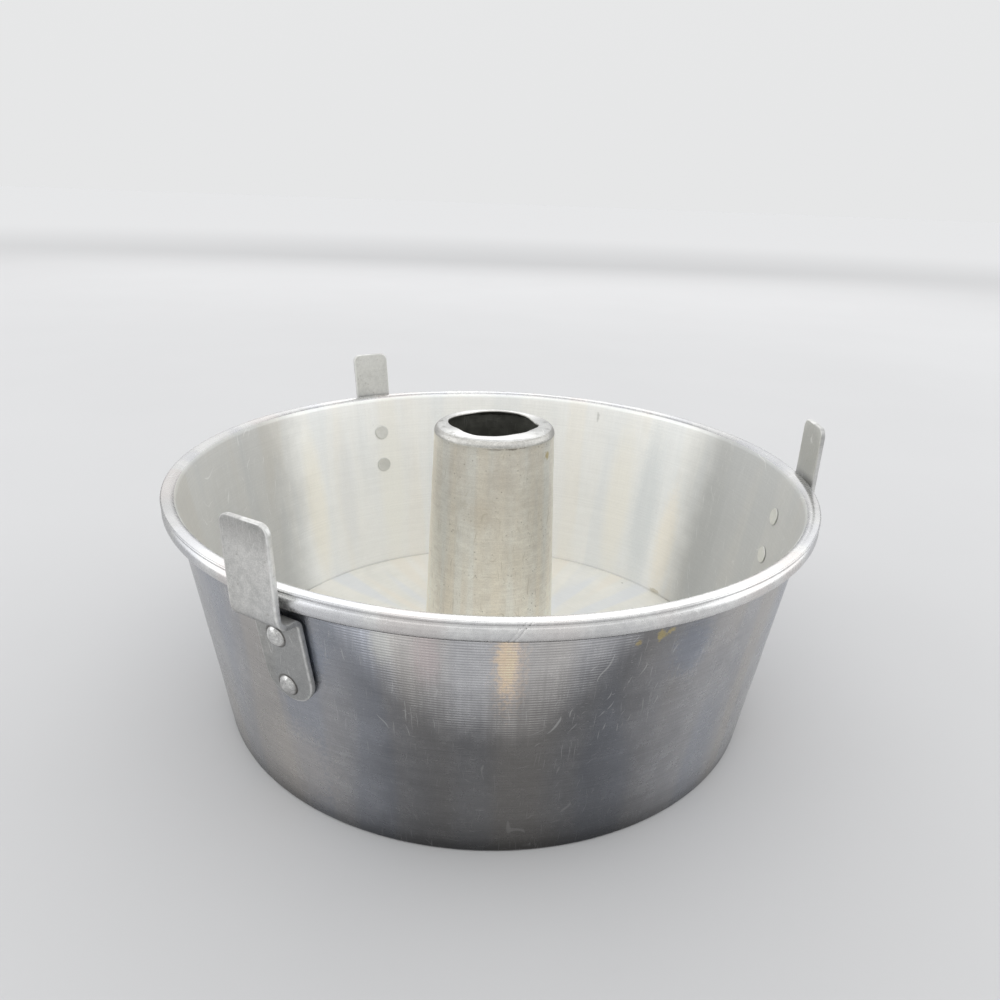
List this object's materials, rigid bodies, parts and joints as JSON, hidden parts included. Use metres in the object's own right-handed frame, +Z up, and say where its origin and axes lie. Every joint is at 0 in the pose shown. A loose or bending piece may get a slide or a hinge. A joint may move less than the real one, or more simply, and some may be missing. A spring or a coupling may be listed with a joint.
{
  "type": "angel food cake pan",
  "caption": "Round tapered tube pan with a rolled rim, a lift-out base that carries a centre tube, and riveted strip feet standing above the rim.",
  "frame": {"origin": "on the pan's axis, at the level of the table that it stands on", "axes": "+Z up along the pan's axis; +X through the first cooling foot"},
  "size_m": [0.2656, 0.262, 0.1206],
  "materials": {
    "ring": "spun, fine lines round the outside, satin inside, worn",
    "base": "satin, softly reflecting",
    "tube": "matt, blotched by baking",
    "feet": "matt grey rolled strip with rounded edges",
    "rivets": "bright domed heads"
  },
  "bodies": {
    "ring": {"pan_ring": "ring", "cooling_foot_1": "feet", "cooling_foot_2": "feet", "cooling_foot_3": "feet", "upper_rivet_1": "rivets", "lower_rivet_1": "rivets", "upper_rivet_2": "rivets", "lower_rivet_2": "rivets", "upper_rivet_3": "rivets", "lower_rivet_3": "rivets"},
    "insert": {"base_disc": "base", "centre_tube": "tube"}
  },
  "joints": [
    {"name": "insert_lift", "type": "slide", "parent": "ring", "child": "insert", "axis": [0, 0, 1], "range_m": [0, 0.125]}
  ]
}
